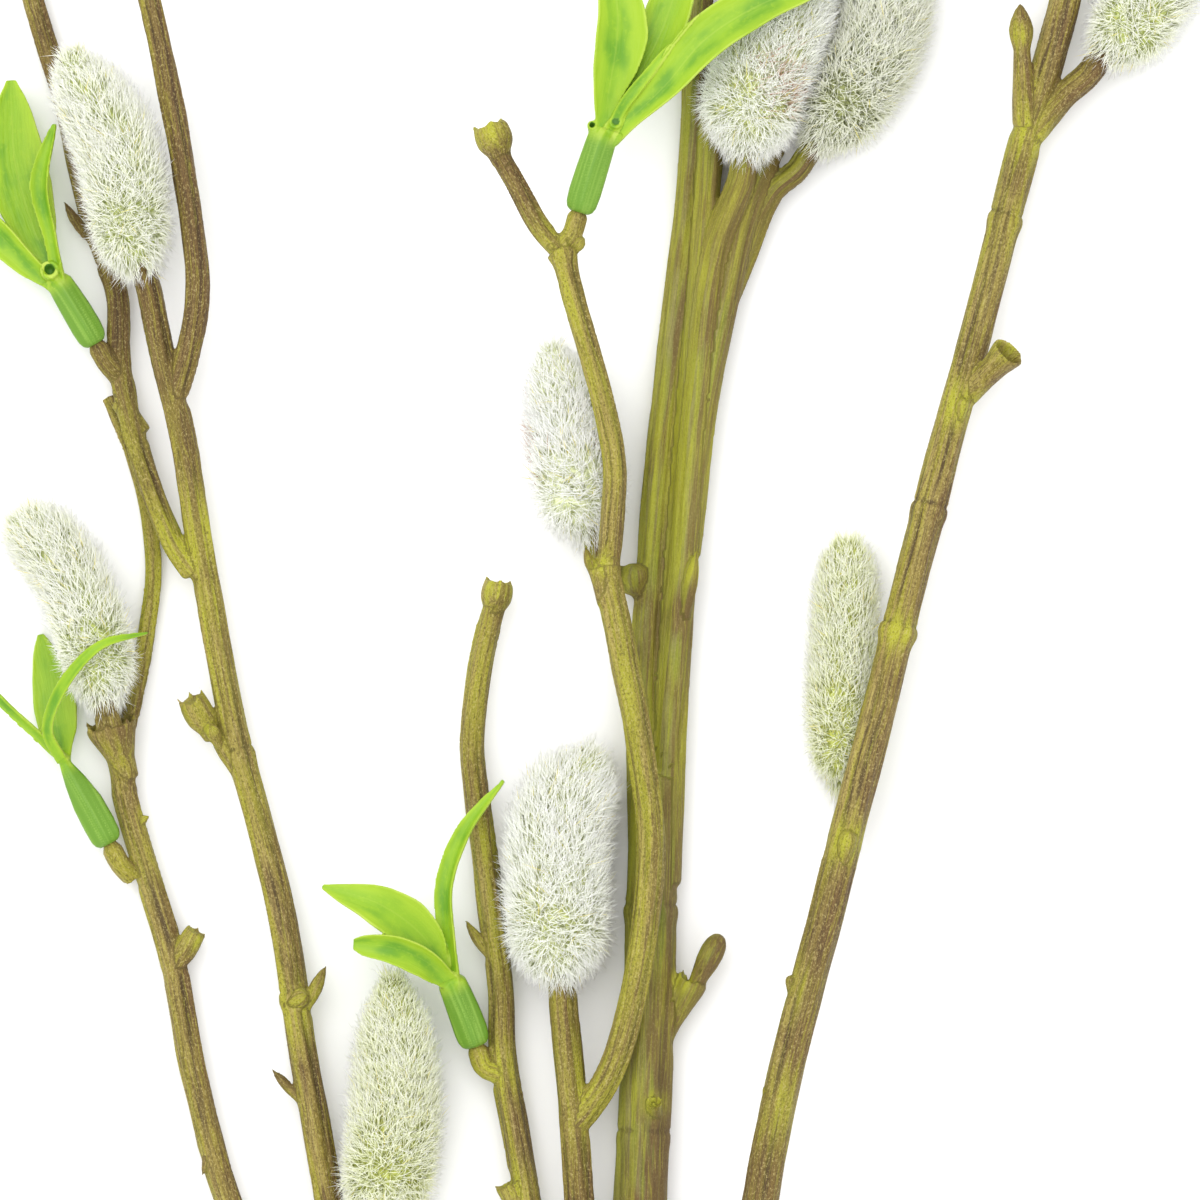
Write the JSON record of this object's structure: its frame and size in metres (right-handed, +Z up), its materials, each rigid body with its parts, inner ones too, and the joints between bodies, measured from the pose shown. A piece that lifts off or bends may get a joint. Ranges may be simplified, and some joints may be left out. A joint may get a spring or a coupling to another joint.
{
  "type": "artificial willow branch",
  "caption": "Forked artificial willow branch with furry catkins, budded moulded twigs and small green leaf sprigs, lying flat as a decorative cut stem.",
  "frame": {"origin": "middle of the branch's footprint, on the surface it lies on", "axes": "+Y from the cut end to the tips, +X to the right as seen from above, +Z up from the surface"},
  "size_m": [0.1775, 0.4192, 0.0206],
  "materials": {
    "twig_plastic": "satin, streaked olive and brown, fine lengthwise ridges",
    "leader_plastic": "satin, green-olive with brown streaks, fine lengthwise ridges",
    "leaf_plastic": "waxy satin, bright green with paler yellow edges",
    "catkin_fur": "soft white fibres over a pale green core"
  },
  "bodies": {
    "root": {"main_stem": "leader_plastic", "right_stem": "twig_plastic", "centre_twig": "twig_plastic", "inner_left_twig": "twig_plastic", "left_twig": "twig_plastic", "left_outer_twig": "twig_plastic", "catkin_left_top": "catkin_fur", "catkin_left_low": "catkin_fur", "catkin_lower_left": "catkin_fur", "catkin_centre": "catkin_fur", "catkin_middle_back": "catkin_fur", "catkin_right_low": "catkin_fur", "catkin_top_front": "catkin_fur", "catkin_top_back": "catkin_fur", "catkin_right_top": "catkin_fur", "catkin_left_tip": "catkin_fur", "catkin_leader_tip": "catkin_fur", "catkin_right_tip": "catkin_fur", "sprig_left_top": "leaf_plastic", "sprig_left_low": "leaf_plastic", "sprig_lower": "leaf_plastic", "sprig_centre_top": "leaf_plastic", "sprig_left_tip": "leaf_plastic", "sprig_leader_tip": "leaf_plastic"}
  },
  "joints": []
}
